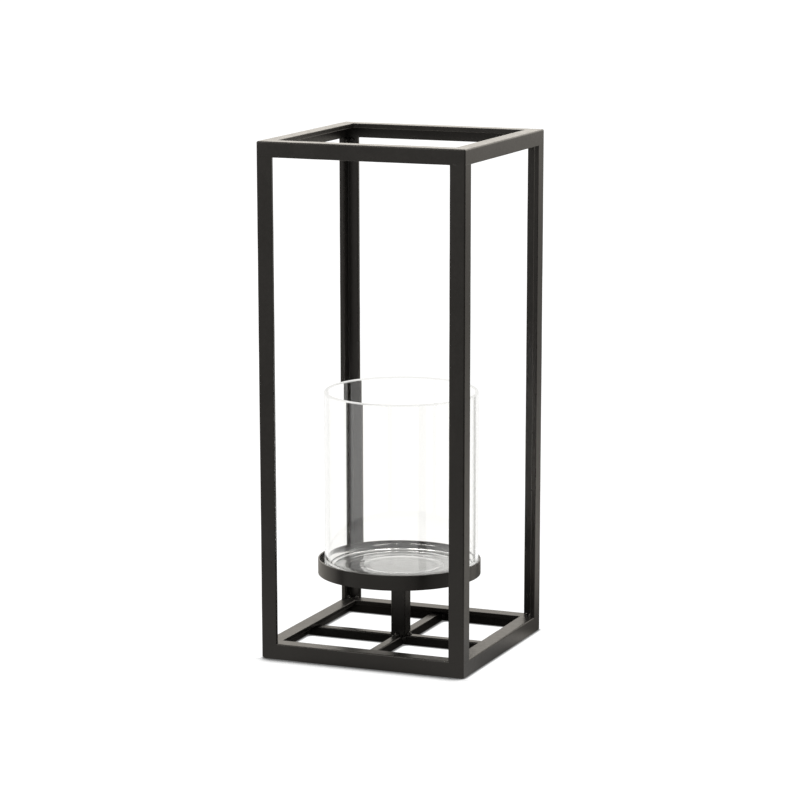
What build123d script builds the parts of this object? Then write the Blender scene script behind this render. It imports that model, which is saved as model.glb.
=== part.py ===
from build123d import *
import math
import os

# Open-frame hurricane candle lantern.  Millimetres, +Z up.
# Origin: centre of the footprint, on the ground.  -Y is the front, +X the right side.

# ---------------------------------------------------------------- driving dimensions
width = 178.0            # outside of the top ring, left to right
depth = 178.0            # outside of the top ring, front to back
height = 422.0           # ground to the top of the top ring
base_inset = 0.9         # the base ring is this much smaller on every side

leg = 12.7               # leg width of the steel angle (half inch), top ring
base_leg = 13.0          # leg width of the base ring and the uprights
wall = 4.0               # leg thickness of the angle
heel_r = 1.3             # outside corner of the angle
toe_r = 0.5              # leg tips, outer arris
toe_in_r = 1.0           # leg tips, inner arris
root_r = 0.6             # inside corner of the angle

bar = 8.0                # square cross bars, lying on the ground line
bar_r = 1.1
stand_x = -2.0           # cross bars and post are welded this far left of the middle
tray_x = -3.2            # the tray sits a little further left on the post

post = 13.0              # square tube post
post_wall = 1.6
post_r = 1.6

tray_r = 67.0            # outside radius of the tray
tray_rim_h = 12.5
tray_rim_t = 1.5
tray_floor_t = 1.5
tray_bottom = 60.2       # lower edge of the tray rim above the ground
tray_lift = 1.1          # the floor disc sits this far up inside the rim

glass_r = 63.3           # nominal 5 in cylinder
glass_h = 150.0
glass_wall = 2.6
glass_base = 5.0
punt_r = 33.8            # shallow round recess under the glass base
punt_h = 0.8
glass_x = -1.3
floor_z0 = tray_bottom + tray_lift
glass_bottom = floor_z0 + tray_floor_t

half_w = width / 2
half_d = depth / 2
base_w = half_w - base_inset
base_d = half_d - base_inset

os.makedirs("parts", exist_ok=True)


def finish(builder, name):
    builder.part.label = name
    export_step(builder.part, "parts/" + name + ".step")


# ---------------------------------------------------------------- angle section
# An L section, heel at (0, 0), legs along +x and +y of the sketch.
def angle_section(size):
    with BuildSketch(Plane.XY) as section:
        with BuildLine():
            Polyline((0, 0), (size, 0), (size, wall), (wall, wall), (wall, size), (0, size), close=True)
        make_face()
        heel = [v for v in section.vertices() if v.X < 0.01 and v.Y < 0.01]
        fillet(heel, heel_r)
        toes = [v for v in section.vertices() if (v.X > size - 0.01 or v.Y > size - 0.01) and min(v.X, v.Y) < 0.01]
        fillet(toes, toe_r)
        toes_in = [v for v in section.vertices() if (v.X > size - 0.01 or v.Y > size - 0.01) and min(v.X, v.Y) > wall - 0.01]
        fillet(toes_in, toe_in_r)
        root = [v for v in section.vertices() if abs(v.X - wall) < 0.01 and abs(v.Y - wall) < 0.01]
        fillet(root, root_r)
    return section.sketch


top_section = angle_section(leg)
base_section = angle_section(base_leg)

# ---------------------------------------------------------------- uprights
# Each one runs straight from a base ring corner to a top ring corner, so it leans out by base_inset.
up_z0 = base_leg                  # stands on the flat leg of the base ring
up_z1 = height - leg              # meets the vertical leg of the top ring
up_rise = up_z1 - up_z0


def build_upright(name, sx, sy, along):
    lean = Vector(sx * base_inset, sy * base_inset, up_rise)
    with BuildPart(Plane(origin=(sx * base_w, sy * base_d, up_z0), x_dir=along, z_dir=(0, 0, 1))) as upright:
        add(base_section)
        extrude(amount=lean.length, dir=lean)
    finish(upright, name)
    return upright


# `along` is the direction of the first leg, so that both legs point inward
upright_front_left = build_upright("upright_front_left", -1, -1, (1, 0, 0))
upright_front_right = build_upright("upright_front_right", 1, -1, (0, 1, 0))
upright_back_right = build_upright("upright_back_right", 1, 1, (-1, 0, 0))
upright_back_left = build_upright("upright_back_left", -1, 1, (0, -1, 0))


# ---------------------------------------------------------------- ring rails
# Heel at the outer top edge, one leg flat on top pointing inward, one leg hanging down.
# Each rail is extruded over its full outer length and trimmed on the two 45 degree mitres.
# The extrusion direction is chosen so that the sketch's +y points down (the vertical leg).
def build_rail(name, section, hw, hd, z_top, side):
    if side == "front":       # runs towards -X so that y_dir = z_dir x x_dir points down
        start, along, inward, span = (hw, -hd, z_top), (-1, 0, 0), (0, 1, 0), 2 * hw
    elif side == "back":
        start, along, inward, span = (-hw, hd, z_top), (1, 0, 0), (0, -1, 0), 2 * hw
    elif side == "left":
        start, along, inward, span = (-hw, -hd, z_top), (0, 1, 0), (1, 0, 0), 2 * hd
    else:
        start, along, inward, span = (hw, hd, z_top), (0, -1, 0), (-1, 0, 0), 2 * hd
    with BuildPart(Plane(origin=start, x_dir=inward, z_dir=along)) as rail:
        add(section)
        extrude(amount=span)
        # keep what lies outside the two diagonals of the footprint
        s = Vector(*start)
        e = s + Vector(*along) * span
        a = Vector(*along)
        n = Vector(*inward)
        split(bisect_by=Plane(origin=(s.X, s.Y, s.Z), z_dir=(a.X - n.X, a.Y - n.Y, 0)), keep=Keep.TOP)
        split(bisect_by=Plane(origin=(e.X, e.Y, e.Z), z_dir=(-a.X - n.X, -a.Y - n.Y, 0)), keep=Keep.TOP)
    finish(rail, name)
    return rail


top_rail_front = build_rail("top_rail_front", top_section, half_w, half_d, height, "front")
top_rail_back = build_rail("top_rail_back", top_section, half_w, half_d, height, "back")
top_rail_left = build_rail("top_rail_left", top_section, half_w, half_d, height, "left")
top_rail_right = build_rail("top_rail_right", top_section, half_w, half_d, height, "right")
base_rail_front = build_rail("base_rail_front", base_section, base_w, base_d, base_leg, "front")
base_rail_back = build_rail("base_rail_back", base_section, base_w, base_d, base_leg, "back")
base_rail_left = build_rail("base_rail_left", base_section, base_w, base_d, base_leg, "left")
base_rail_right = build_rail("base_rail_right", base_section, base_w, base_d, base_leg, "right")

# ---------------------------------------------------------------- cross bars
reach_x = base_w - wall
reach_y = base_d - wall

with BuildPart() as cross_bar_through:
    with BuildSketch(Plane.XZ.offset(reach_y)):          # normal -Y, sketch plane at y = -reach_y
        with Locations((stand_x, bar / 2)):
            RectangleRounded(bar, bar, bar_r)
    extrude(amount=-2 * reach_y)
finish(cross_bar_through, "cross_bar_through")

left_len = (stand_x - bar / 2) + reach_x
right_len = reach_x - (stand_x + bar / 2)

with BuildPart() as cross_bar_left:
    with BuildSketch(Plane.YZ.offset(-reach_x)):
        with Locations((0, bar / 2)):
            RectangleRounded(bar, bar, bar_r)
    extrude(amount=left_len)
finish(cross_bar_left, "cross_bar_left")

with BuildPart() as cross_bar_right:
    with BuildSketch(Plane.YZ.offset(stand_x + bar / 2)):
        with Locations((0, bar / 2)):
            RectangleRounded(bar, bar, bar_r)
    extrude(amount=right_len)
finish(cross_bar_right, "cross_bar_right")

# ---------------------------------------------------------------- centre post
post_len = floor_z0 - bar
with BuildPart() as centre_post:
    with BuildSketch(Plane.XY.offset(bar)):
        with Locations((stand_x, 0)):
            RectangleRounded(post, post, post_r)
            RectangleRounded(post - 2 * post_wall, post - 2 * post_wall, 0.8, mode=Mode.SUBTRACT)
    extrude(amount=post_len)
finish(centre_post, "centre_post")

# ---------------------------------------------------------------- tray
with BuildPart() as tray_floor:
    with BuildSketch(Plane.XY.offset(floor_z0)):
        with Locations((tray_x, 0)):
            Circle(tray_r - tray_rim_t)
    extrude(amount=tray_floor_t)
finish(tray_floor, "tray_floor")

with BuildPart() as tray_rim:
    with BuildSketch(Plane(origin=(tray_x, 0, tray_bottom), x_dir=(1, 0, 0), z_dir=(0, -1, 0))) as rim_profile:
        with Locations((tray_r - tray_rim_t / 2, tray_rim_h / 2)):
            Rectangle(tray_rim_t, tray_rim_h)
        fillet(rim_profile.vertices().group_by(Axis.Y)[-1], 0.6)
    revolve(axis=Axis((tray_x, 0, 0), (0, 0, 1)), revolution_arc=360)
finish(tray_rim, "tray_rim")

# ---------------------------------------------------------------- glass
# Straight cylinder, closed base with a shallow recess below, polished rim, rounded heel; revolved outline.
inner_r = glass_r - glass_wall
with BuildPart() as glass_cylinder:
    with BuildSketch(Plane(origin=(glass_x, 0, glass_bottom), x_dir=(1, 0, 0), z_dir=(0, -1, 0))) as glass_profile:
        with BuildLine():
            Polyline(
                (0, punt_h),
                (punt_r - punt_h, punt_h),
                (punt_r, 0),
                (glass_r, 0),
                (glass_r, glass_h),
                (inner_r, glass_h),
                (inner_r, glass_base),
                (0, glass_base),
                close=True,
            )
        make_face()
        fillet(glass_profile.vertices().group_by(Axis.Y)[-1], 1.1)
        heel_pt = [v for v in glass_profile.vertices() if v.Y < 0.01 and v.X > glass_r - 0.01]
        fillet(heel_pt, 2.5)
        inner_pt = [v for v in glass_profile.vertices() if abs(v.Y - glass_base) < 0.01 and v.X > inner_r - 0.01]
        fillet(inner_pt, 2.5)
    revolve(axis=Axis((glass_x, 0, 0), (0, 0, 1)), revolution_arc=360)
finish(glass_cylinder, "glass_cylinder")


# ---------------------------------------------------------------- weld beads
# A bead is a short barrel lying on a seam, thick in the middle and blunt at both ends.  It starts on
# the face whose direction is `first` and turns about the seam: 90 degrees fills the corner between
# two faces, 180 degrees sits on one flat face.
barrel = [(-1.0, 0.34), (-0.82, 0.66), (-0.5, 0.90), (0.0, 1.0), (0.5, 0.90), (0.82, 0.66), (1.0, 0.34)]


def seam_bead(centre, first, second, half_len, radius, arc=90):
    n1 = Vector(*first)
    n2 = Vector(*second)
    seam = n1.cross(n2)                       # turning about this takes `first` to `second`
    outline = [(-half_len, 0)] + [(u * half_len, v * radius) for u, v in barrel] + [(half_len, 0)]
    with BuildPart() as bead:
        with BuildSketch(Plane(origin=centre, x_dir=seam, z_dir=seam.cross(n1))):
            with BuildLine():
                Polyline(*outline, close=True)
            make_face()
        revolve(axis=Axis(centre, seam), revolution_arc=arc)
    return bead.part


def weld_group(name, beads):
    with BuildPart() as group:
        for one in beads:
            add(one)
    finish(group, name)
    return group


corners = [(-1, -1), (1, -1), (1, 1), (-1, 1)]
foot_w = base_w - wall            # inner faces of the uprights, at the foot
foot_d = base_d - wall
head_w = half_w - wall - 0.01     # and at the head, clear of the lean
head_d = half_d - wall - 0.01
up = (0, 0, 1)
down = (0, 0, -1)

base_beads = []
top_beads = []
for sx, sy in corners:
    off_x = (-sx, 0, 0)           # away from the left or right leg
    off_y = (0, -sy, 0)           # away from the front or back leg
    base_beads.append(seam_bead((sx * (foot_w - 6.2), sy * foot_d, base_leg), off_y, up, 2.3, 2.2))
    base_beads.append(seam_bead((sx * foot_w, sy * (foot_d - 4.4), base_leg), off_x, up, 2.4, 2.3))
    top_beads.append(seam_bead((sx * (head_w - 3.6), sy * head_d, height - leg - 1.9), up, off_y, 2.8, 1.8, arc=180))
    top_beads.append(seam_bead((sx * head_w, sy * (head_d - 4.6), height - leg - 2.0), up, off_x, 2.4, 1.9, arc=180))
weld_base_corners = weld_group("weld_base_corners", base_beads)
weld_top_corners = weld_group("weld_top_corners", top_beads)

# upright beads in the corners between bar ends and rails, clear of the ground
end_z, end_half, end_r = 4.1, 3.8, 2.4
end_beads = []
cross_beads = []
for s in (-1, 1):
    for side in (-1, 1):
        end_beads.append(
            seam_bead((stand_x + side * bar / 2, s * reach_y, end_z), (side, 0, 0), (0, -s, 0), end_half, end_r))
        end_beads.append(
            seam_bead((s * reach_x, side * bar / 2, end_z), (0, side, 0), (-s, 0, 0), end_half, end_r))
        cross_beads.append(
            seam_bead((stand_x + s * bar / 2, side * bar / 2, end_z), (s, 0, 0), (0, side, 0), end_half, end_r))
weld_cross_ends = weld_group("weld_cross_ends", end_beads)
weld_crossing = weld_group("weld_crossing", cross_beads)

foot_beads = [
    seam_bead((stand_x - 0.6, -post / 2, bar), (0, -1, 0), up, 2.4, 2.4),
    seam_bead((stand_x + 0.2, post / 2, bar), (0, 1, 0), up, 2.4, 2.2),
    seam_bead((stand_x - post / 2, -0.2, bar), (-1, 0, 0), up, 2.5, 2.2),
    seam_bead((stand_x + post / 2, 0.3, bar), (1, 0, 0), up, 2.6, 2.5),
]
weld_post_foot = weld_group("weld_post_foot", foot_beads)

head_beads = [
    seam_bead((stand_x, -post / 2, floor_z0), (0, -1, 0), down, 4.0, 2.0),
    seam_bead((stand_x, post / 2, floor_z0), (0, 1, 0), down, 4.0, 2.0),
    seam_bead((stand_x - post / 2, 0, floor_z0), (-1, 0, 0), down, 4.0, 2.0),
    seam_bead((stand_x + post / 2, 0, floor_z0), (1, 0, 0), down, 4.0, 2.0),
]
weld_post_head = weld_group("weld_post_head", head_beads)

# continuous small fillet under the tray, between the disc and the rim
seam_r = tray_r - tray_rim_t
with BuildPart() as weld_tray_seam:
    with BuildSketch(Plane(origin=(tray_x, 0, 0), x_dir=(1, 0, 0), z_dir=(0, -1, 0))):
        with BuildLine():
            Polyline((seam_r, floor_z0), (seam_r - 0.9, floor_z0), (seam_r, floor_z0 - 0.9), close=True)
        make_face()
    revolve(axis=Axis((tray_x, 0, 0), (0, 0, 1)), revolution_arc=360)
finish(weld_tray_seam, "weld_tray_seam")
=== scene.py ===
import bpy
import bmesh
import math
import numpy as np
from mathutils import Matrix, Vector, noise


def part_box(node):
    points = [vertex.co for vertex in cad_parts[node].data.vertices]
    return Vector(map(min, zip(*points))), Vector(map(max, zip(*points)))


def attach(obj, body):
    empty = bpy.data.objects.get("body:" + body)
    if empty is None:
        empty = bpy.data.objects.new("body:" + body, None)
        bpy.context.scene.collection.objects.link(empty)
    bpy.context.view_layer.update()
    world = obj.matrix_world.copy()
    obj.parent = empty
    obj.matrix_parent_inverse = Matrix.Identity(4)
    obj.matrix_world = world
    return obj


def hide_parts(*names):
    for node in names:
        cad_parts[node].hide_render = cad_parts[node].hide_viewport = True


# Hurricane candle lantern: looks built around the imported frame.  Metres; the helpers below take
# millimetres and scale once.
MM = 0.001

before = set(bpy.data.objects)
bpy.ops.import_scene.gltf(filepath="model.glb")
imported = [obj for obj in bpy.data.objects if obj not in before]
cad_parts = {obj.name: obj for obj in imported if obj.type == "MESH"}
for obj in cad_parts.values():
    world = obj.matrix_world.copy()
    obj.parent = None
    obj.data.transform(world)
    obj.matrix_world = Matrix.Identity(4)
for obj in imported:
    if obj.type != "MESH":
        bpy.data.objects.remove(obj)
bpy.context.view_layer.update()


def box_mm(node):
    lo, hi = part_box(node)
    return np.array(lo) / MM, np.array(hi) / MM


# ------------------------------------------------------------------ sizes read from the frame
tl, th = box_mm("top_rail_front")
bl, bh = box_mm("base_rail_front")
tb_l, tb_h = box_mm("top_rail_back")
bb_l, bb_h = box_mm("base_rail_back")
TLEG = th[2] - tl[2]                # leg width of the angle: top ring
BLEG = bh[2] - bl[2]                # and base ring and uprights
WALL = 4.0                          # leg thickness of the angle
HEEL = 1.3
W0, W1 = tl[0], th[0]               # outer left and right of the top ring
D0, D1 = tl[1], tb_h[1]             # outer front and back of the top ring
B0, B1 = bl[0], bh[0]               # the same of the base ring
E0, E1 = bl[1], bb_h[1]
TOP = th[2]
BASE = bh[2]
JOIN = TOP - TLEG                   # the uprights run from BASE to here


# ------------------------------------------------------------------ small maths
def unit(v):
    v = np.array(v, float)
    return v / np.linalg.norm(v)


def wob(p, wave, seed):
    """Smooth pseudo-random field in -1..1 over points p (n, 3), features about `wave` long."""
    p = np.asarray(p, float).reshape(-1, 3)
    rng = np.random.RandomState(seed)
    out = np.zeros(len(p))
    for _ in range(7):
        k = rng.normal(size=3)
        k = k / np.linalg.norm(k) * (2 * math.pi / wave) * rng.uniform(0.6, 1.5)
        out += np.sin(p @ k + rng.uniform(0, 2 * math.pi))
    return out / 3.2


def smooth01(x, a, b):
    t = np.clip((np.asarray(x, float) - a) / (b - a), 0, 1)
    return t * t * (3 - 2 * t)


# ------------------------------------------------------------------ mesh helpers
def make_object(name, verts, faces, edge, flat=(), material=None):
    """A mesh object in metres from millimetre points, with the point attribute `edge`."""
    me = bpy.data.meshes.new(name)
    me.from_pydata([tuple(v) for v in np.asarray(verts, float) * MM], [], faces)
    me.update()
    bm = bmesh.new()
    bm.from_mesh(me)
    bmesh.ops.recalc_face_normals(bm, faces=bm.faces)
    bm.to_mesh(me)
    bm.free()
    flat = set(flat)
    me.polygons.foreach_set("use_smooth", [i not in flat for i in range(len(me.polygons))])
    at = me.attributes.new("edge", "FLOAT", "POINT")
    at.data.foreach_set("value", np.asarray(edge, np.float32))
    me.update()
    ob = bpy.data.objects.new(name, me)
    bpy.context.scene.collection.objects.link(ob)
    if material is not None:
        me.materials.append(material)
    return ob


def outline(corners, support=0.2, row=3.2):
    """Closed counter-clockwise outline with rounded corners.
    corners: (x, y, radius, segments, edge value).  Returns points, outward normals, edge values."""
    n = len(corners)
    pos = [np.array(c[:2], float) for c in corners]
    arcs = []
    for i in range(n):
        p, r, seg = pos[i], corners[i][2], corners[i][3]
        d1 = unit(p - pos[i - 1])
        d2 = unit(pos[(i + 1) % n] - p)
        turn = 1.0 if d1[0] * d2[1] - d1[1] * d2[0] > 0 else -1.0
        left = np.array((-d1[1], d1[0]))
        c = p - d1 * r + left * r * turn
        arc = []
        for k in range(seg + 1):
            a = math.pi / 2 * k / seg
            u = -left * turn * math.cos(a) + d1 * math.sin(a)
            arc.append((c + u * r, u * turn))
        arcs.append(arc)
    pts, nrm, edge = [], [], []
    for i in range(n):
        e = corners[i][4]
        for q, nn in arcs[i]:
            pts.append(q), nrm.append(nn), edge.append(e)
        a, nn = arcs[i][-1]
        b = arcs[(i + 1) % n][0][0]
        length = np.linalg.norm(b - a)
        e2 = corners[(i + 1) % n][4]
        s = min(support, length * 0.3) / length
        cells = max(1, int(round(length * (1 - 2 * s) / row)))
        for j in range(cells + 1):
            f = s + (1 - 2 * s) * j / cells
            pts.append(a + (b - a) * f), nrm.append(nn)
            edge.append(0.25 * e if j == 0 else 0.25 * e2 if j == cells else 0.0)
    return np.array(pts), np.array(nrm), np.array(edge)


def stations(length, bevel, step=9.0):
    near = [0.0, bevel, 0.3, 0.55, 0.85, 1.2, 1.6, 2.1, 2.8, 4.0]
    near = [v for v in near if v < length * 0.4]
    mid = np.linspace(near[-1], length - near[-1], max(2, int(round((length - 2 * near[-1]) / step))) + 1)
    return near[:-1] + list(mid) + [length - v for v in reversed(near[:-1])]


def sweep(name, prof, origin, ex, ey, ez, length, mitre=0.0, bevel=0.14, wave=0.045, seed=1,
          inner=None, step=9.0, reshape=None, material=None):
    """Runs an outline along ez.  mitre 1 cuts both ends at 45 degrees against ex.
    inner: a second outline with as many points, for a tube.  reshape moves the finished points,
    for corners that were ground after welding."""
    pts, nrm, edge = prof
    origin, ex, ey, ez = (np.array(v, float) for v in (origin, ex, ey, ez))
    st = stations(length, bevel, step)
    n = len(pts)
    verts, edges, faces, flat = [], [], [], []

    def ring(pp, nn, t, inset):
        q = pp - nn * inset
        t0 = mitre * q[:, 0]
        t1 = length - mitre * q[:, 0]
        along = t0 + (t1 - t0) * (t / length)
        w = origin + np.outer(q[:, 0], ex) + np.outer(q[:, 1], ey) + np.outer(along, ez)
        wn = np.outer(nn[:, 0], ex) + np.outer(nn[:, 1], ey)
        return w, wn

    def shell(pp, nn, ee, sign):
        base = len(verts)
        for i, t in enumerate(st):
            end = i in (0, len(st) - 1)
            w, wn = ring(pp, nn, t, bevel if end else 0.0)
            fade = min(1.0, min(t, length - t) / 6.0)
            d = wave * fade * wob(w, 34.0, seed)
            w = w + wn * d[:, None] * sign
            if reshape is not None:
                w = reshape(w)
            verts.extend(w)
            edges.extend(ee)
        for i in range(len(st) - 1):
            for j in range(n):
                a, b = base + i * n + j, base + i * n + (j + 1) % n
                faces.append((a, b, b + n, a + n))
        return base

    a0 = shell(pts, nrm, edge, 1.0)
    last = (len(st) - 1) * n
    if inner is None:
        flat.append(len(faces)), faces.append(tuple(range(a0, a0 + n)))
        flat.append(len(faces)), faces.append(tuple(range(a0 + last, a0 + last + n)))
    else:
        ip, inn, ie = inner
        b0 = shell(ip, -inn, ie * 0, 1.0)
        for off in (0, last):
            for j in range(n):
                k = (j + 1) % n
                flat.append(len(faces))
                faces.append((a0 + off + j, a0 + off + k, b0 + off + k, b0 + off + j))
    return make_object(name, verts, faces, edges, flat, material)


def lathe(name, prof, centre, segments, edge=None, closed=False, wobble=None, material=None):
    """Turns (r, z) points about a vertical axis through centre.  A first and last point on the
    axis close the form; closed joins the last point to the first."""
    prof = np.array(prof, float)
    edge = np.zeros(len(prof)) if edge is None else np.array(edge, float)
    verts, edges, faces, index = [], [], [], []
    ang = np.arange(segments) * 2 * math.pi / segments
    for (r, z), e in zip(prof, edge):
        if r < 1e-6:
            index.append([len(verts)] * segments)
            verts.append((centre[0], centre[1], centre[2] + z)), edges.append(e)
            continue
        dr, dz = (0.0, 0.0) if wobble is None else wobble(r, z, ang)
        rr, zz = r + dr, z + dz + 0 * ang
        index.append(list(range(len(verts), len(verts) + segments)))
        for a, b, c in zip(rr * np.cos(ang), rr * np.sin(ang), zz):
            verts.append((centre[0] + a, centre[1] + b, centre[2] + c)), edges.append(e)
    rows = list(range(len(prof))) + ([0] if closed else [])
    for i, k in zip(rows[:-1], rows[1:]):
        for j in range(segments):
            m = (j + 1) % segments
            q = [index[i][j], index[i][m], index[k][m], index[k][j]]
            f = [v for s, v in enumerate(q) if v not in q[:s]]
            if len(f) > 2:
                faces.append(tuple(f))
    return make_object(name, verts, faces, edges, (), material)


def round_poly(points, radii, seg=6, support=0.0):
    """Open or closed (r, z) polyline with its corners rounded; radii 0 keeps a point."""
    out = []
    n = len(points)
    for i in range(n):
        p = np.array(points[i], float)
        r = radii[i]
        if r <= 0 or i in (0, n - 1):
            out.append(p)
            continue
        a, b = np.array(points[i - 1], float), np.array(points[i + 1], float)
        d1, d2 = unit(p - a), unit(b - p)
        cosv = np.clip(d1 @ d2, -1, 1)
        phi = math.acos(cosv)
        tl_ = r * math.tan(phi / 2)
        side = 1.0 if d1[0] * d2[1] - d1[1] * d2[0] > 0 else -1.0
        left = np.array((-d1[1], d1[0])) * side
        c = p - d1 * tl_ + left * r
        if support:
            out.append(p - d1 * (tl_ + support))
        for k in range(seg + 1):
            t = phi * k / seg
            out.append(c + (-left * math.cos(t) + d1 * math.sin(t)) * r)
        if support:
            out.append(p + d2 * (tl_ + support))
    return out


def dense(points, step):
    """Adds points so that no gap along the polyline is longer than step."""
    out = [np.array(points[0], float)]
    for a, b in zip(points[:-1], points[1:]):
        a, b = np.array(a, float), np.array(b, float)
        n = max(1, int(math.ceil(np.linalg.norm(b - a) / step)))
        for k in range(1, n + 1):
            out.append(a + (b - a) * k / n)
    return out


# ------------------------------------------------------------------ material helpers
class Tree:
    """A short way to write node trees."""

    def __init__(self, tree):
        self.t = tree
        tree.nodes.clear()

    def node(self, kind, **props):
        n = self.t.nodes.new(kind)
        inputs = props.pop("inputs", {})
        for k, v in props.items():
            setattr(n, k, v)
        for k, v in inputs.items():
            sock = n.inputs[k]
            if isinstance(v, bpy.types.NodeSocket):
                self.t.links.new(v, sock)
            else:
                sock.default_value = v
        return n

    def math(self, op, a, b=0.0, clamp=False):
        n = self.node("ShaderNodeMath", operation=op, use_clamp=clamp)
        for i, v in enumerate((a, b)):
            if isinstance(v, bpy.types.NodeSocket):
                self.t.links.new(v, n.inputs[i])
            else:
                n.inputs[i].default_value = v
        return n.outputs[0]

    def ramp(self, v, lo, hi, a=0.0, b=1.0, smooth=True):
        n = self.node("ShaderNodeMapRange", interpolation_type="SMOOTHSTEP" if smooth else "LINEAR",
                      inputs={"Value": v, "From Min": lo, "From Max": hi, "To Min": a, "To Max": b})
        return n.outputs["Result"]

    def noise(self, vec, scale, detail=2.0, rough=0.5, dist=0.0):
        n = self.node("ShaderNodeTexNoise", inputs={"Vector": vec, "Scale": scale, "Detail": detail,
                                                     "Roughness": rough, "Distortion": dist})
        return n.outputs["Fac"]

    def mix(self, fac, a, b):
        n = self.node("ShaderNodeMix", data_type="RGBA")
        for k, v in (("Factor", fac), ("A", a), ("B", b)):
            sock = [s for s in n.inputs if s.name == k and s.type in (("VALUE",) if k == "Factor" else ("RGBA",))][0]
            if isinstance(v, bpy.types.NodeSocket):
                self.t.links.new(v, sock)
            else:
                sock.default_value = v
        return [s for s in n.outputs if s.type == "RGBA"][0]


def rgba(r, g, b):
    return (r, g, b, 1.0)


def paint(name, dark, light, worn, rough, peel, fine=1.0, wear=0.16, gloss=(0.5, 0.5)):
    """Satin black paint over steel: soft tone patches, fine texture, orange peel, arrises that are
    thinner and a little lighter, and painted shade that darkens the inner corners."""
    m = bpy.data.materials.new(name)
    m.use_nodes = True
    t = Tree(m.node_tree)
    pos = t.node("ShaderNodeTexCoord").outputs["Object"]
    edge = t.node("ShaderNodeAttribute", attribute_name="edge").outputs["Fac"]
    patch = t.noise(pos, 38.0, 3.0, 0.55)
    grain = t.noise(pos, 1500.0, 3.0, 0.6)
    mottle = t.noise(pos, 260.0, 4.0, 0.6)
    chip = t.noise(pos, 420.0, 5.0, 0.65, 0.4)
    tone = t.ramp(patch, 0.3, 0.7)
    col = t.mix(tone, dark, light)
    speck = t.ramp(grain, 0.35, 0.75, 0.0, 0.35 * fine)
    col = t.mix(speck, col, worn)
    rim = t.ramp(edge, 0.15, 1.0)
    worn_mask = t.math("MULTIPLY", rim, t.ramp(chip, 0.42, 0.66, 0.35, 1.0), clamp=True)
    worn_mask = t.math("MULTIPLY", worn_mask, wear)
    col = t.mix(worn_mask, col, worn)
    # Painted shade: the inner root corner of the angle is darkened towards near-black.
    corner_shade = t.ramp(edge, -1.0, -0.05, 0.65, 0.0)
    col = t.mix(corner_shade, col, rgba(0.004, 0.004, 0.004))
    r = t.ramp(mottle, 0.3, 0.7, rough - 0.025, rough + 0.035)
    r = t.math("ADD", r, t.math("MULTIPLY", t.ramp(patch, 0.35, 0.65), 0.03))
    r = t.math("SUBTRACT", r, t.math("MULTIPLY", rim, 0.03))
    b1 = t.node("ShaderNodeBump", inputs={"Strength": peel, "Distance": 0.00006, "Height": t.noise(pos, 620.0, 2.0, 0.5)})
    b2 = t.node("ShaderNodeBump", inputs={"Strength": peel * 0.6, "Distance": 0.00005, "Height": mottle,
                                            "Normal": b1.outputs[0]})
    facing = t.node("ShaderNodeLayerWeight", inputs={"Blend": 0.5}).outputs["Facing"]
    p = t.node("ShaderNodeBsdfPrincipled", inputs={"Base Color": col, "Roughness": r, "IOR": 1.5,
                                                     "Specular IOR Level": t.ramp(facing, 0.10, 0.65, gloss[0], gloss[1]),
                                                     "Specular Tint": rgba(1.0, 0.965, 0.925),
                                                     "Normal": b2.outputs[0]})
    out = t.node("ShaderNodeOutputMaterial")
    t.t.links.new(p.outputs[0], out.inputs[0])
    return m


def clear_glass(name):
    """Polished soda-lime glass with a faint warm tint that varies softly.
    Light that is still inside after many turns has come from all round the pale studio, and is painted in as a white
    glow; the same painted glow lightens grazing edges, the rim lip and the inner faces near the top."""
    m = bpy.data.materials.new(name)
    m.use_nodes = True
    t = Tree(m.node_tree)
    pos = t.node("ShaderNodeTexCoord").outputs["Object"]
    haze = t.noise(pos, 45.0, 3.0, 0.55)
    col = t.mix(t.ramp(haze, 0.35, 0.75), rgba(0.985, 0.983, 0.970), rgba(0.982, 0.980, 0.965))
    p = t.node("ShaderNodeBsdfPrincipled", inputs={
        "Base Color": col, "Roughness": 0.0, "IOR": 1.5, "Transmission Weight": 1.0})
    path = t.node("ShaderNodeLightPath")
    deep = t.math("GREATER_THAN", path.outputs["Ray Depth"], 8.5)
    facing = t.node("ShaderNodeLayerWeight", inputs={"Blend": 0.5}).outputs["Facing"]
    inside = t.node("ShaderNodeNewGeometry").outputs["Backfacing"]
    height = t.node("ShaderNodeSeparateXYZ", inputs={0: pos}).outputs[2]
    # Painted glow: white emission on inner faces near the top, at grazing edges and on the rim lip.
    inner_glow = t.math("MULTIPLY", t.ramp(facing, 0.20, 0.30), inside)
    inner_glow = t.math("MULTIPLY", inner_glow, t.ramp(height, 0.077, 0.090, 0.0, 0.80))
    lip = t.math("MULTIPLY", t.node("ShaderNodeAttribute", attribute_name="edge").outputs["Fac"], 0.62)
    graze_glow = t.math("MAXIMUM", t.math("MAXIMUM", t.ramp(facing, 0.84, 0.96, 0.0, 0.80), lip), inner_glow)
    graze_glow = t.math("MULTIPLY", graze_glow, t.math("LESS_THAN", path.outputs["Ray Depth"], 1.5))
    painted_glow = t.node("ShaderNodeEmission", inputs={"Color": rgba(1.0, 0.995, 0.97), "Strength": 0.87})
    mixed = t.node("ShaderNodeMixShader", inputs={0: t.math("MAXIMUM", deep, graze_glow), 1: p.outputs[0], 2: painted_glow.outputs[0]})
    out = t.node("ShaderNodeOutputMaterial")
    t.t.links.new(mixed.outputs[0], out.inputs[0])
    return m


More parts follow.
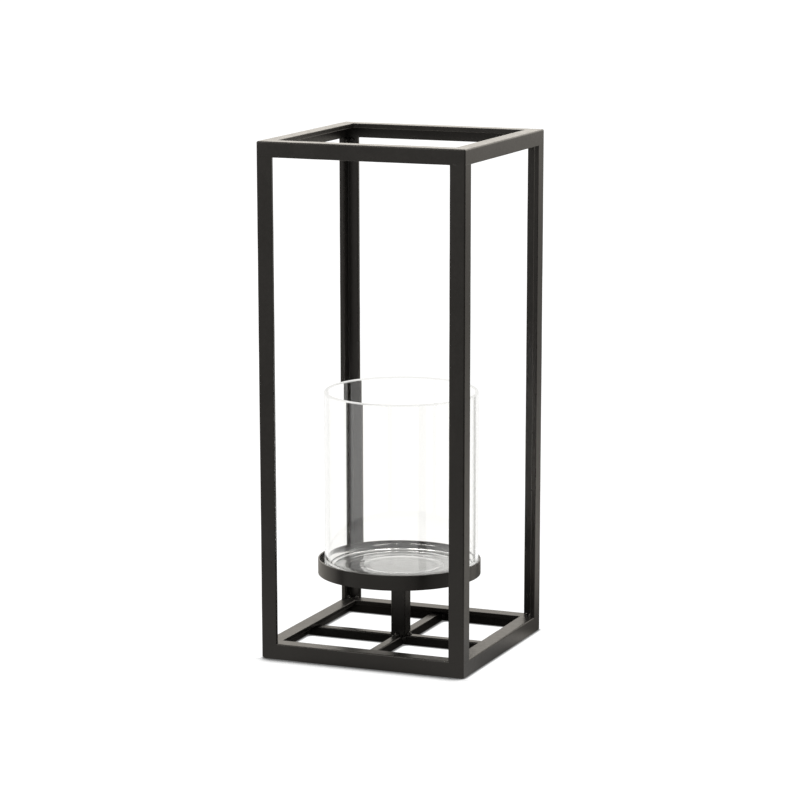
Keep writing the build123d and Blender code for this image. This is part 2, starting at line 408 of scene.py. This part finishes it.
steel = paint("black_steel_paint", rgba(0.0052, 0.0047, 0.0042), rgba(0.0078, 0.0070, 0.0062),
              rgba(0.024, 0.021, 0.018), 0.30, 0.055)
tray_paint = paint("black_tray_paint", rgba(0.0052, 0.0047, 0.0042), rgba(0.0075, 0.0068, 0.0060),
                   rgba(0.022, 0.019, 0.017), 0.31, 0.055, gloss=(0.40, 0.74))
weld_paint = paint("black_weld_paint", rgba(0.0050, 0.0047, 0.0044), rgba(0.0085, 0.0076, 0.0068),
                   rgba(0.034, 0.030, 0.026), 0.20, 0.16)
glass_mat = clear_glass("clear_soda_glass")


def register(ob, body, slot, *nodes):
    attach(ob, body)
    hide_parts(*nodes)
    return ob


# ------------------------------------------------------------------ angle iron frame
def angle_outline(leg):
    return outline([
        (0.0, 0.0, HEEL, 9, 1.0),
        (leg, 0.0, 0.5, 5, 0.8),
        (leg, WALL, 1.0, 6, 0.5),
        (WALL, WALL, 0.6, 5, -1.0),
        (WALL, leg, 1.0, 6, 0.5),
        (0.0, leg, 0.5, 5, 0.8),
    ])


top_angle = angle_outline(TLEG)
base_angle = angle_outline(BLEG)


def ground_corner(x0, x1, y0, y1, z_tip, radii):
    """The ring corners after grinding: the vertical arris takes the heel radius and the corner
    tips at height z_tip are rounded with the radius of each corner (left-front, right-front,
    right-back, left-back)."""
    tip_sign = 1.0 if z_tip < 50 else -1.0

    def move(w):
        w = w.copy()
        dx = np.minimum(w[:, 0] - x0, x1 - w[:, 0])
        dy = np.minimum(w[:, 1] - y0, y1 - w[:, 1])
        sx = np.where(w[:, 0] - x0 < x1 - w[:, 0], 1.0, -1.0)
        sy = np.where(w[:, 1] - y0 < y1 - w[:, 1], 1.0, -1.0)
        which = np.where(sy > 0, np.where(sx > 0, 0, 1), np.where(sx > 0, 3, 2))
        r = np.array(radii)[which]
        u = np.clip(np.maximum(dx, dy), 0, None)
        lift = np.where(u < r, r - np.sqrt(np.clip(r * r - (r - u) ** 2, 0, None)), 0.0)
        dz = np.abs(w[:, 2] - z_tip)
        fade = np.clip(1 - dz / (2.6 * r), 0, 1) ** 1.2
        w[:, 2] += tip_sign * lift * fade
        a = np.clip(HEEL - dx, 0, HEEL)
        b = np.clip(HEEL - dy, 0, HEEL)
        m, h = np.maximum(a, b), np.hypot(a, b)
        k = np.where((a > 0) & (b > 0), m / np.maximum(h, 1e-9), 1.0)
        w[:, 0] += sx * a * (1 - k)
        w[:, 1] += sy * b * (1 - k)
        return w

    return move


# Uprights: the ends run on past the rounded arrises of the rings, as weld filler ground flush does.
ups = {
    "upright_front_left": (-1, -1),
    "upright_front_right": (1, -1),
    "upright_back_right": (1, 1),
    "upright_back_left": (-1, 1),
}
for i, (node, (sx, sy)) in enumerate(ups.items()):
    foot = np.array((B0 if sx < 0 else B1, E0 if sy < 0 else E1, BASE))
    head = np.array((W0 if sx < 0 else W1, D0 if sy < 0 else D1, JOIN))
    lean = (head - foot) / (head[2] - foot[2])
    a = foot - lean * 1.5
    a[0] = foot[0]
    a[1] = foot[1]
    b = head + lean * 0.7
    ob = sweep(node + "_steel", base_angle, a, (-sx, 0, 0), (0, -sy, 0), (b - a) / (b[2] - a[2]), b[2] - a[2],
               seed=11 + i, bevel=0.05, material=steel)
    register(ob, "frame", "black_steel", node)

rings = (
    ("top", TOP, 31, top_angle, (W0, W1, D0, D1), ground_corner(W0, W1, D0, D1, TOP, (0.9, 0.7, 0.9, 0.7))),
    ("base", BASE, 51, base_angle, (B0, B1, E0, E1), ground_corner(B0, B1, E0, E1, 0.0, (3.8, 1.3, 2.8, 2.0))),
)
for ring, z, s0, profile, (x0, x1, y0, y1), shape in rings:
    rails = {
        "front": ((x0, y0, z), (0, 1, 0), (1, 0, 0), x1 - x0),
        "back": ((x0, y1, z), (0, -1, 0), (1, 0, 0), x1 - x0),
        "left": ((x0, y0, z), (1, 0, 0), (0, 1, 0), y1 - y0),
        "right": ((x1, y0, z), (-1, 0, 0), (0, 1, 0), y1 - y0),
    }
    for i, (side, (org, inward, along, span)) in enumerate(rails.items()):
        node = "%s_rail_%s" % (ring, side)
        ob = sweep(node + "_steel", profile, org, inward, (0, 0, -1), along, span, mitre=1.0,
                   bevel=0.02, seed=s0 + i, reshape=shape, material=steel)
        register(ob, "frame", "black_steel", node)

# ------------------------------------------------------------------ cross bars
lo, hi = box_mm("cross_bar_through")
BAR = hi[2] - lo[2]
BX = (lo[0] + hi[0]) / 2
h = BAR / 2
square = outline([(-h, -h, 1.1, 6, 0.9), (h, -h, 1.1, 6, 0.9), (h, h, 1.1, 6, 0.9), (-h, h, 1.1, 6, 0.9)], row=2.4)
ob = sweep("cross_bar_through_steel", square, (BX, lo[1], h), (1, 0, 0), (0, 0, 1), (0, 1, 0), hi[1] - lo[1],
           bevel=0.3, seed=71, material=steel)
register(ob, "frame", "black_steel", "cross_bar_through")
REACH_Y = hi[1]
for node, seed in (("cross_bar_left", 72), ("cross_bar_right", 73)):
    lo, hi = box_mm(node)
    ob = sweep(node + "_steel", square, (lo[0], 0, h), (0, 1, 0), (0, 0, 1), (1, 0, 0), hi[0] - lo[0],
               bevel=0.3, seed=seed, material=steel)
    register(ob, "frame", "black_steel", node)
REACH_X = hi[0]

# ------------------------------------------------------------------ centre post: square tube
lo, hi = box_mm("centre_post")
POST = hi[0] - lo[0]
PX = (lo[0] + hi[0]) / 2
PZ0, PZ1 = lo[2], hi[2]


def square_ring(half, r, rows):
    cs = [(-half, -half), (half, -half), (half, half), (-half, half)]
    return outline([(x, y, r, 6, 0.9) for x, y in cs], support=0.2, row=(2 * half - 2 * r - 0.4) / rows)


ob = sweep("centre_post_steel", square_ring(POST / 2, 1.6, 3), (PX, 0, PZ0), (1, 0, 0), (0, 1, 0), (0, 0, 1),
           PZ1 - PZ0, bevel=0.25, seed=81, inner=square_ring(POST / 2 - 1.6, 0.8, 3), step=4.0, material=steel)
register(ob, "frame", "black_steel", "centre_post")

# ------------------------------------------------------------------ tray: rolled rim and floor disc
lo, hi = box_mm("tray_rim")
TR = (hi[0] - lo[0]) / 2
TX = (lo[0] + hi[0]) / 2
RT = 1.5
TZ0, TZ1 = lo[2], hi[2]
TH = TZ1 - TZ0


def closed_round(points, radii, seg, support):
    """Rounded closed (r, z) loop: rounds every corner."""
    pts = [points[-1]] + list(points) + [points[0]]
    rr = [0] + list(radii) + [0]
    return round_poly(pts, rr, seg, support)[1:-1]


rim = closed_round([(TR - RT, 0), (TR, 0), (TR, TH), (TR - RT, TH)], [0.3, 0.35, 0.6, 0.6], 5, 0.12)
rim_fine = []
for a, b in zip(rim, rim[1:] + rim[:1]):
    rim_fine.append(a)
    gap = np.linalg.norm(b - a)
    for k in range(1, int(gap // 2.6) + 1):
        rim_fine.append(a + (b - a) * k / (int(gap // 2.6) + 1))
rim_edge = [0.9 if (p[1] > TH - 0.62 or p[1] < 0.35) else 0.0 for p in rim_fine]


def rim_wobble(r, z, a):
    dr = 0.10 * np.sin(2 * a + 0.7) + 0.05 * np.sin(5 * a + 2.0) + 0.025 * np.sin(11 * a + 0.4)
    dz = 0.06 * np.sin(3 * a + 1.1) * (z > TH * 0.5) + 0.05 * np.sin(4 * a + 2.6) * (z < TH * 0.5)
    dz = dz - 0.35 * np.cos(a - math.radians(22.5)) * (0.35 + 0.65 * (z > TH * 0.5))
    return dr, dz


ob = lathe("tray_rim_steel", rim_fine, (TX, 0, TZ0), 240, rim_edge, closed=True, wobble=rim_wobble,
           material=tray_paint)
register(ob, "frame", "black_tray", "tray_rim")

lo, hi = box_mm("tray_floor")
FR = (hi[0] - lo[0]) / 2 - 0.12
FT = hi[2] - lo[2]
disc = dense([(0, 0), (FR * 0.5, 0), (FR - 0.4, 0)], 6.0) + round_poly([(FR - 0.4, 0), (FR, 0), (FR, FT), (FR - 0.4, FT)],
                                                                        [0, 0.3, 0.3, 0], 4)[1:-1] \
    + dense([(FR - 0.4, FT), (FR * 0.5, FT), (0, FT)], 6.0)


def disc_wobble(r, z, a):
    d = 0.10 * smooth01(FR - r, 0, 25) * (np.sin(2 * a + 0.5) * np.sin(r / 17.0) + 0.4 * np.sin(3 * a + r / 11.0))
    return 0 * a, d - 0.18 * smooth01(FR - r, 1, 12)


ob = lathe("tray_floor_steel", disc, (TX, 0, lo[2]), 160, None, wobble=disc_wobble, material=tray_paint)
register(ob, "frame", "black_tray", "tray_floor")

# ------------------------------------------------------------------ weld beads


def bead(centre, n1, n2, half, radius, seed, arc=90.0, nu=30, nt=16, sink=0.3, lumps=1.0):
    """One weld bead: a lumpy, rippled fillet on a seam.  n1 to n2 is the open side it fills."""
    centre, n1, n2 = np.array(centre, float), unit(n1), unit(n2)
    seam = np.cross(n1, n2)
    verts, faces = [], []
    loop = nt + 4
    for i in range(nu + 1):
        u = -1 + 2 * i / nu
        g = math.sqrt(max(0.0, 1 - abs(u) ** 2.3)) * 0.96 + 0.06
        ripple = 1 + 0.030 * lumps * math.sin(2 * math.pi * (u * half) / 0.85 + seed)
        ax = centre + seam * (u * half)
        ring = []
        for j in range(nt + 1):
            a = math.radians(arc) * j / nt
            leg_out = 1.0 + 0.13 * abs(math.cos(2 * a)) if arc < 120 else 1.0 - 0.10 * math.sin(a)
            q = Vector((u * half * 0.62 + seed * 3.1, a * radius * 0.75, seed * 1.7))
            lump = 1 + lumps * (0.12 * noise.noise(q) + 0.03 * noise.noise(q * 2.7))
            rr = radius * g * ripple * lump * leg_out
            ring.append(ax + (n1 * math.cos(a) + n2 * math.sin(a)) * rr)
        if arc < 120:
            first, last, mid = ring[0] - n2 * sink, ring[-1] - n1 * sink, ax - (n1 + n2) * sink
        else:
            first, last, mid = ring[0] - n2 * sink, ring[-1] - n2 * sink, ax - n2 * sink
        verts.extend(ring + [last, mid, first])
    loop = nt + 4
    for i in range(nu):
        for j in range(loop):
            a, b = i * loop + j, i * loop + (j + 1) % loop
            faces.append((a, b, b + loop, a + loop))
    faces.append(tuple(range(loop)))
    faces.append(tuple(range(nu * loop, (nu + 1) * loop)))
    return np.array(verts), faces


def bead_object(name, beads, material=weld_paint):
    verts, faces = [], []
    for v, f in beads:
        k = len(verts)
        verts.extend(v)
        faces.extend(tuple(i + k for i in g) for g in f)
    return make_object(name, verts, faces, np.full(len(verts), 0.2), (), material)


UP, DOWN = (0, 0, 1), (0, 0, -1)
base_beads, top_beads = [], []
for k, (sx, sy) in enumerate(((-1, -1), (1, -1), (1, 1), (-1, 1))):
    fw, fd = B1 - WALL, E1 - WALL
    hw, hd = W1 - WALL, D1 - WALL
    off_x, off_y = (-sx, 0, 0), (0, -sy, 0)
    s = 10 + k
    size = 0.55 if k == 2 else 1.0
    base_beads.append(bead((sx * (fw - 6.2), sy * fd, BASE), off_y, UP, 2.3 * size, 2.2 * size, s + 0.13))
    base_beads.append(bead((sx * fw, sy * (fd - 4.4), BASE), off_x, UP, 2.4, 2.3, s + 0.57))
    top_beads.append(bead((sx * (hw - 3.6), sy * hd, JOIN - 1.9), UP, off_y, 2.8, 1.8, s + 0.29, arc=180.0))
    top_beads.append(bead((sx * hw, sy * (hd - 4.6), JOIN - 2.0), UP, off_x, 2.4, 1.9, s + 0.71, arc=180.0))
register(bead_object("weld_base_corners_beads", base_beads), "frame", "painted_weld", "weld_base_corners")
register(bead_object("weld_top_corners_beads", top_beads), "frame", "painted_weld", "weld_top_corners")

end_z, end_half, end_r = 4.1, 3.8, 2.4
end_beads, cross_beads = [], []
for k, s in enumerate((-1, 1)):
    for m, side in enumerate((-1, 1)):
        q = 20 + 4 * k + m
        end_beads.append(bead((BX + side * BAR / 2, s * REACH_Y, end_z), (side, 0, 0), (0, -s, 0), end_half, end_r, q + 0.3, lumps=0.3))
        end_beads.append(bead((s * REACH_X, side * BAR / 2, end_z), (0, side, 0), (-s, 0, 0), end_half, end_r, q + 0.8, lumps=0.3))
        cross_beads.append(bead((BX + s * BAR / 2, side * BAR / 2, end_z), (s, 0, 0), (0, side, 0), end_half, end_r, q + 5.4, lumps=0.3))
register(bead_object("weld_cross_ends_beads", end_beads), "frame", "painted_weld", "weld_cross_ends")
register(bead_object("weld_crossing_beads", cross_beads), "frame", "painted_weld", "weld_crossing")

ph = POST / 2
foot = [
    bead((PX - 0.6, -ph, BAR), (0, -1, 0), UP, 2.4, 2.4, 41.2),
    bead((PX + 0.2, ph, BAR), (0, 1, 0), UP, 2.4, 2.2, 42.3),
    bead((PX - ph, -0.2, BAR), (-1, 0, 0), UP, 2.5, 2.2, 43.4),
    bead((PX + ph, 0.3, BAR), (1, 0, 0), UP, 2.6, 2.5, 44.5),
]
register(bead_object("weld_post_foot_beads", foot), "frame", "painted_weld", "weld_post_foot")
head = [
    bead((PX, -ph, PZ1), (0, -1, 0), DOWN, 4.0, 2.0, 45.1),
    bead((PX, ph, PZ1), (0, 1, 0), DOWN, 4.0, 2.0, 46.2),
    bead((PX - ph, 0, PZ1), (-1, 0, 0), DOWN, 4.0, 2.0, 47.3),
    bead((PX + ph, 0, PZ1), (1, 0, 0), DOWN, 4.0, 2.0, 48.4),
]
register(bead_object("weld_post_head_beads", head), "frame", "painted_weld", "weld_post_head")

lo, hi = box_mm("weld_tray_seam")
SR = (hi[0] - lo[0]) / 2
SH = hi[2] - lo[2]


def seam_wobble(r, z, a):
    k = (SR - r) / SH
    rip = 0.10 * np.sin(a * 300) + 0.12 * np.sin(a * 23 + 1) + 0.08 * np.sin(a * 61 + 2)
    return -rip * k * (r > SR - SH - 0.05) * (r < SR), 0 * a


seam = [(SR + 0.15, 0.25), (SR + 0.05, -SH), (SR - 0.18, -0.72 * SH), (SR - 0.42, -0.46 * SH), (SR - 0.66, -0.24 * SH),
        (SR - SH, -0.05), (SR - SH, 0.25)]
ob = lathe("weld_tray_seam_bead", seam, (TX, 0, hi[2]), 900, [0.2] * len(seam), closed=True, wobble=seam_wobble,
           material=weld_paint)
register(ob, "frame", "painted_weld", "weld_tray_seam")

# ------------------------------------------------------------------ glass cylinder
lo, hi = box_mm("glass_cylinder")
GR = (hi[0] - lo[0]) / 2
GX = (lo[0] + hi[0]) / 2
GZ0, GZ1 = lo[2], hi[2]
GH = GZ1 - GZ0
GW = 2.6
GB = 5.0
PUNT = 33.8

under = []
for r in list(np.linspace(0, PUNT - 1.4, 26)) + list(np.linspace(PUNT - 1.2, PUNT + 1.0, 9)) + list(np.linspace(PUNT + 2.5, 56, 12)):
    z = 0.8 * (1 - smooth01(r, PUNT - 1.0, PUNT + 0.6)) + 0.10 * (1 - smooth01(r, 8, PUNT - 2))
    under.append((r, z))
heel = round_poly([(56, 0), (GR, 0), (GR, 6)], [0, 2.5, 0], 14)[1:-1]
wall_out = dense([(GR, 2.8), (GR, GH - 1.6)], 4.0)
lip = []
for k in range(0, 25):
    a = math.pi * k / 24
    lip.append((GR - GW / 2 + (GW / 2) * math.cos(a), GH - 1.3 + 1.3 * math.sin(a)))
wall_in = dense([(GR - GW, GH - 1.6), (GR - GW, GB + 6.6)], 4.0)
toe = round_poly([(GR - GW, GB + 9), (GR - GW, GB), (48, GB)], [0, 6.2, 0], 24)[1:-1]
floor_in = []
for r in np.linspace(54.0, 0, 108):
    wave = 0.030 * math.sin(r / 1.45) * smooth01(r, 12, 24) * smooth01(54.4 - r, 0, 4) + 0.018 * math.sin(r / 0.83 + 1.0) * smooth01(r, 26, 36)
    floor_in.append((r, GB - 0.30 * (1 - smooth01(r, 20, 54)) + 0.10 * math.exp(-((r - 31.0) / 1.6) ** 2) + wave))
glass_prof = under + heel + wall_out + lip + wall_in + toe + floor_in
# The lip points carry the value that paints a white glow on the rim lip.
glass_lip_glow = [0.0] * (len(under) + len(heel) + len(wall_out)) + [1.0] * len(lip) + [0.0] * (len(wall_in) + len(toe) + len(floor_in))


def glass_wobble(r, z, a):
    d = 0.014 * (np.sin(2 * a + 0.4) + 0.5 * np.sin(3 * a + 1.0) + 0.3 * np.sin(5 * a))
    tilt = 0.9 * smooth01(z, GH * 0.55, GH) * np.sin(a - math.radians(22.5))
    return d * min(1.0, r / 40.0) * (0.0 if r < 50 else 1.0), tilt


ob = lathe("glass_cylinder_clear", glass_prof, (GX, 0, GZ0), 640, glass_lip_glow, wobble=glass_wobble, material=glass_mat)
register(ob, "glass", "clear_glass", "glass_cylinder")


# ------------------------------------------------------------------ floor and studio surround
# Looked at directly or through clear glass, floor and surround are the same white, with a thin
# contact shade where the frame stands.  In reflections they carry the light of the studio: a lit
# patch on the floor round the object, darker under it and far in front, bright walls behind.
TINT = rgba(1.0, 0.978, 0.945)
WARM = rgba(1.0, 0.950, 0.870)
FRONT = (0.382, -0.924, 0.0)        # level direction from the object towards the viewer


def plain_view(t):
    """1 for camera rays and for rays that have only passed through glass."""
    path = t.node("ShaderNodeLightPath")
    clean = t.math("LESS_THAN", path.outputs["Glossy Depth"], 0.5)
    return t.math("MAXIMUM", path.outputs["Is Camera Ray"], t.math("MULTIPLY", path.outputs["Is Transmission Ray"], clean))


GLASS_G = 1.06                      # brightness of the studio in reflections from glass


def glass_view(t):
    """1 for rays that have been mirrored in the glass."""
    path = t.node("ShaderNodeLightPath")
    turned = t.math("GREATER_THAN", path.outputs["Glossy Depth"], 0.5)
    through = t.math("MULTIPLY", path.outputs["Is Transmission Ray"], turned)
    return t.math("MAXIMUM", path.outputs["Is Singular Ray"], through)


def blend_views(t, clean, sharp, white, lit):
    """white for plain views, GLASS_G for glass reflections, lit for reflections from paint."""
    sharp = t.math("MULTIPLY", sharp, t.math("SUBTRACT", 1.0, clean))
    rest = t.math("SUBTRACT", 1.0, t.math("ADD", clean, sharp), clamp=True)
    a = t.math("ADD", t.math("MULTIPLY", white, clean), t.math("MULTIPLY", sharp, GLASS_G))
    return t.math("ADD", a, t.math("MULTIPLY", lit, rest))


def curve(t, value, points):
    """Piecewise linear grey curve through (x, y) points, x in 0..1."""
    n = t.node("ShaderNodeValToRGB", inputs={"Fac": value})
    r = n.color_ramp
    r.interpolation = "LINEAR"
    peak = max(y for x, y in points)
    while len(r.elements) < len(points):
        r.elements.new(0.5)
    for e, (x, y) in zip(r.elements, points):
        e.position = x
    for e, (x, y) in zip(r.elements, points):
        e.color = (y / peak, y / peak, y / peak, 1.0)
    sep = t.node("ShaderNodeSeparateColor", inputs={0: n.outputs[0]})
    return t.math("MULTIPLY", sep.outputs[0], peak)


me = bpy.data.meshes.new("studio_floor")
s = 16.0
me.from_pydata([(-s, -s, 0), (s, -s, 0), (s, s, 0), (-s, s, 0)], [], [(0, 1, 2, 3)])
floor = bpy.data.objects.new("studio_floor", me)
bpy.context.scene.collection.objects.link(floor)
floor.location.z = -0.0001
fm = bpy.data.materials.new("pale_floor")
fm.use_nodes = True
t = Tree(fm.node_tree)
where = t.node("ShaderNodeNewGeometry").outputs["Position"]
level_pos = t.node("ShaderNodeVectorMath", operation="MULTIPLY", inputs={0: where, 1: (1.0, 1.0, 0.0)})
dist = t.node("ShaderNodeVectorMath", operation="LENGTH", inputs={0: level_pos.outputs[0]}).outputs["Value"]
ahead = t.node("ShaderNodeVectorMath", operation="DOT_PRODUCT", inputs={0: level_pos.outputs[0], 1: FRONT}).outputs["Value"]
side = t.math("DIVIDE", ahead, t.math("MAXIMUM", dist, 0.01))
reach = t.math("POWER", t.math("MULTIPLY", dist, 0.25), 0.5, clamp=True)     # 0 at the middle, 1 at 4 m
front_g = curve(t, reach, [(0.0, 0.12), (0.14, 0.20), (0.175, 0.62), (0.27, 0.66), (0.36, 0.60), (0.50, 0.40), (0.58, 0.40), (1.0, 0.40)])
back_g = curve(t, reach, [(0.0, 0.12), (0.14, 0.20), (0.160, 0.88), (0.27, 0.76), (0.38, 0.74), (0.50, 0.60), (0.58, 0.52), (1.0, 0.5)])
w_side = t.ramp(side, -0.35, 0.35)
mixed = t.math("ADD", t.math("MULTIPLY", front_g, w_side), t.math("MULTIPLY", back_g, t.math("SUBTRACT", 1.0, w_side)))
xyz = t.node("ShaderNodeSeparateXYZ", inputs={0: where})
outside = t.math("MAXIMUM", t.math("ABSOLUTE", xyz.outputs[0]), t.math("ABSOLUTE", xyz.outputs[1]))
# Painted shade in reflections: the floor is darker under the frame's footprint and in a patch just behind it, where the
# object shades it.
under = t.ramp(outside, 0.083, 0.092, 0.24, 1.0)
behind = t.math("MULTIPLY", t.ramp(xyz.outputs[1], 0.05, 0.09), t.ramp(xyz.outputs[1], 0.40, 0.26))
behind = t.math("MULTIPLY", behind, t.ramp(t.math("ABSOLUTE", xyz.outputs[0]), 0.165, 0.105))
aside = t.node("ShaderNodeVectorMath", operation="DOT_PRODUCT", inputs={0: level_pos.outputs[0], 1: (0.924, -0.382, 0.0)}).outputs["Value"]
aside = t.ramp(t.math("DIVIDE", aside, t.math("MAXIMUM", dist, 0.01)), 0.66, 0.90)
aside = t.math("MULTIPLY", aside, t.ramp(dist, 0.28, 0.50, 0.0, 0.80))
mixed = t.math("MULTIPLY", mixed, t.math("SUBTRACT", 1.0, aside))
lit = t.math("MULTIPLY", t.math("MULTIPLY", mixed, under), t.math("SUBTRACT", 1.0, t.math("MULTIPLY", behind, 0.72)))
# Painted contact shadow: ambient occlusion darkens the white floor emission next to the frame, wider in front, thin on
# the other sides.
ao = t.node("ShaderNodeAmbientOcclusion", samples=12, inputs={"Distance": 0.020}).outputs["AO"]
shade_front = t.ramp(ao, 0.56, 0.88, 0.06, 1.12, smooth=False)
is_front = t.ramp(xyz.outputs[1], -0.0875, -0.0889)
near = t.node("ShaderNodeAmbientOcclusion", samples=12, inputs={"Distance": 0.0040}).outputs["AO"]
thin = t.ramp(near, 0.50, 0.96, 0.16, 1.12)
white = t.math("ADD", t.math("MULTIPLY", shade_front, is_front), t.math("MULTIPLY", thin, t.math("SUBTRACT", 1.0, is_front)))
clean, sharp = plain_view(t), glass_view(t)
strength = blend_views(t, clean, sharp, white, lit)
colour = t.mix(t.math("MAXIMUM", clean, sharp), t.mix(w_side, WARM, TINT), rgba(1.0, 1.0, 1.0))
e = t.node("ShaderNodeEmission", inputs={"Color": colour, "Strength": strength})
o = t.node("ShaderNodeOutputMaterial")
t.t.links.new(e.outputs[0], o.inputs[0])
me.materials.append(fm)

# A ring of pale cloth round the object, met only by reflections from the painted steel.
me = bpy.data.meshes.new("studio_wall")
n, radius, top = 96, 1.35, 3.2
ring = [(radius * math.cos(2 * math.pi * k / n), radius * math.sin(2 * math.pi * k / n)) for k in range(n)]
me.from_pydata([(x, y, 0.0) for x, y in ring] + [(x, y, top) for x, y in ring], [],
               [(k, (k + 1) % n, n + (k + 1) % n, n + k) for k in range(n)])
wall = bpy.data.objects.new("studio_wall", me)
bpy.context.scene.collection.objects.link(wall)
wall.visible_camera = False
wall.visible_transmission = False
wall.visible_diffuse = False
wall.visible_shadow = False
wall.visible_volume_scatter = False
wm = bpy.data.materials.new("pale_cloth")
wm.use_nodes = True
t = Tree(wm.node_tree)
where = t.node("ShaderNodeNewGeometry").outputs["Position"]
xyz = t.node("ShaderNodeSeparateXYZ", inputs={0: where})
flat_pos = t.node("ShaderNodeVectorMath", operation="MULTIPLY", inputs={0: where, 1: (1 / radius, 1 / radius, 0.0)})
toward = t.node("ShaderNodeVectorMath", operation="DOT_PRODUCT", inputs={0: flat_pos.outputs[0], 1: FRONT}).outputs["Value"]
up = t.math("DIVIDE", xyz.outputs[2], top, clamp=True)
back_w = curve(t, up, [(0.0, 0.46), (0.045, 0.46), (0.07, 0.56), (0.095, 0.90), (0.13, 1.30), (0.20, 2.15), (0.35, 2.15), (0.6, 1.2), (1.0, 0.8)])
lateral = t.node("ShaderNodeVectorMath", operation="DOT_PRODUCT", inputs={0: flat_pos.outputs[0], 1: (0.924, 0.382, 0.0)}).outputs["Value"]
back_w = t.math("MULTIPLY", back_w, t.ramp(lateral, 0.15, 0.62, 1.0, 0.86))
front_w = curve(t, up, [(0.0, 0.40), (0.03, 0.42), (0.055, 0.52), (0.12, 0.55), (0.30, 0.50), (0.60, 0.60), (1.0, 0.7)])
w_front = t.ramp(toward, -0.30, 0.45)
cloth = t.math("ADD", t.math("MULTIPLY", front_w, w_front), t.math("MULTIPLY", back_w, t.math("SUBTRACT", 1.0, w_front)))
aside = t.node("ShaderNodeVectorMath", operation="DOT_PRODUCT", inputs={0: flat_pos.outputs[0], 1: (0.924, -0.382, 0.0)}).outputs["Value"]
cloth = t.math("MULTIPLY", cloth, t.ramp(aside, 0.68, 0.90, 1.0, 0.25))
sharp = glass_view(t)
strength = t.math("ADD", t.math("MULTIPLY", cloth, t.math("SUBTRACT", 1.0, sharp)), t.math("MULTIPLY", sharp, GLASS_G))
colour = t.mix(sharp, t.mix(w_front, WARM, TINT), rgba(1.0, 1.0, 1.0))
e = t.node("ShaderNodeEmission", inputs={"Color": colour, "Strength": strength})
o = t.node("ShaderNodeOutputMaterial")
t.t.links.new(e.outputs[0], o.inputs[0])
me.materials.append(wm)

world = bpy.data.worlds.new("studio")
bpy.context.scene.world = world
world.use_nodes = True
t = Tree(world.node_tree)
direction = t.node("ShaderNodeTexCoord").outputs["Generated"]
toward = t.node("ShaderNodeVectorMath", operation="DOT_PRODUCT", inputs={0: direction, 1: FRONT})
front = t.ramp(toward.outputs["Value"], -0.30, 0.75, 1.0, 0.55)
clean, sharp = plain_view(t), glass_view(t)
strength = blend_views(t, clean, sharp, 1.12, front)
colour = t.mix(t.math("MAXIMUM", clean, sharp), TINT, rgba(1.0, 1.0, 1.0))
bg = t.node("ShaderNodeBackground", inputs={"Color": colour, "Strength": strength})
o = t.node("ShaderNodeOutputWorld")
t.t.links.new(bg.outputs[0], o.inputs[0])


def softbox(name, at, target, size, radiance):
    data = bpy.data.lights.new(name, "AREA")
    data.shape = "RECTANGLE"
    data.size, data.size_y = size
    data.energy = radiance * math.pi * size[0] * size[1]
    data.color = (1.0, 0.985, 0.96)
    ob = bpy.data.objects.new(name, data)
    bpy.context.scene.collection.objects.link(ob)
    ob.location = at
    ob.rotation_euler = (Vector(target) - Vector(at)).to_track_quat("-Z", "Y").to_euler()
    ob.visible_camera = False
    ob.visible_diffuse = False
    # Polished glass shows the lamp itself, brighter than the soft sheen that paint shows.
    data.use_nodes = True
    t = Tree(data.node_tree)
    mirror = t.node("ShaderNodeLightPath").outputs["Is Singular Ray"]
    e = t.node("ShaderNodeEmission", inputs={"Strength": t.ramp(mirror, 0.0, 1.0, 1.0, 3.0, smooth=False)})
    o = t.node("ShaderNodeOutputLight")
    t.t.links.new(e.outputs[0], o.inputs[0])
    return ob


# Two large softboxes in front, left and right of the viewer, both above.
def softbox_at(name, azimuth, elevation, distance, size, radiance):
    a, e = math.radians(azimuth), math.radians(elevation)
    at = (distance * math.cos(e) * math.sin(a), -distance * math.cos(e) * math.cos(a), 0.1 + distance * math.sin(e))
    softbox(name, at, (0, 0, 0.1), size, radiance)


softbox_at("left_softbox", 22.5 - 41.0, 46.0, 2.6, (1.7, 1.0), 16.0)
softbox_at("right_softbox", 22.5 + 32.0, 46.0, 2.6, (1.5, 1.0), 12.0)

# ------------------------------------------------------------------ camera
cam_data = bpy.data.cameras.new("camera")
cam = bpy.data.objects.new("camera", cam_data)
bpy.context.scene.collection.objects.link(cam)
cam_data.sensor_fit = "HORIZONTAL"
cam_data.sensor_width = 36.0
cam_data.lens = 149.449
cam.location = (1.01970, -2.47094, 0.68500)
turn = Matrix.Rotation(math.radians(22.4755), 4, "Z") @ Matrix.Rotation(math.radians(90 - 10.1837), 4, "X") \
    @ Matrix.Rotation(math.radians(-0.0583), 4, "Z")
cam.rotation_euler = turn.to_euler()
cam_data.clip_start, cam_data.clip_end = 0.05, 100.0
bpy.context.scene.camera = cam

scene = bpy.context.scene
scene.view_settings.view_transform = "Standard"
scene.view_settings.look = "None"
scene.cycles.max_bounces = 24
scene.cycles.transmission_bounces = 20
scene.cycles.glossy_bounces = 8
scene.cycles.diffuse_bounces = 4
scene.cycles.caustics_reflective = True
scene.cycles.caustics_refractive = True
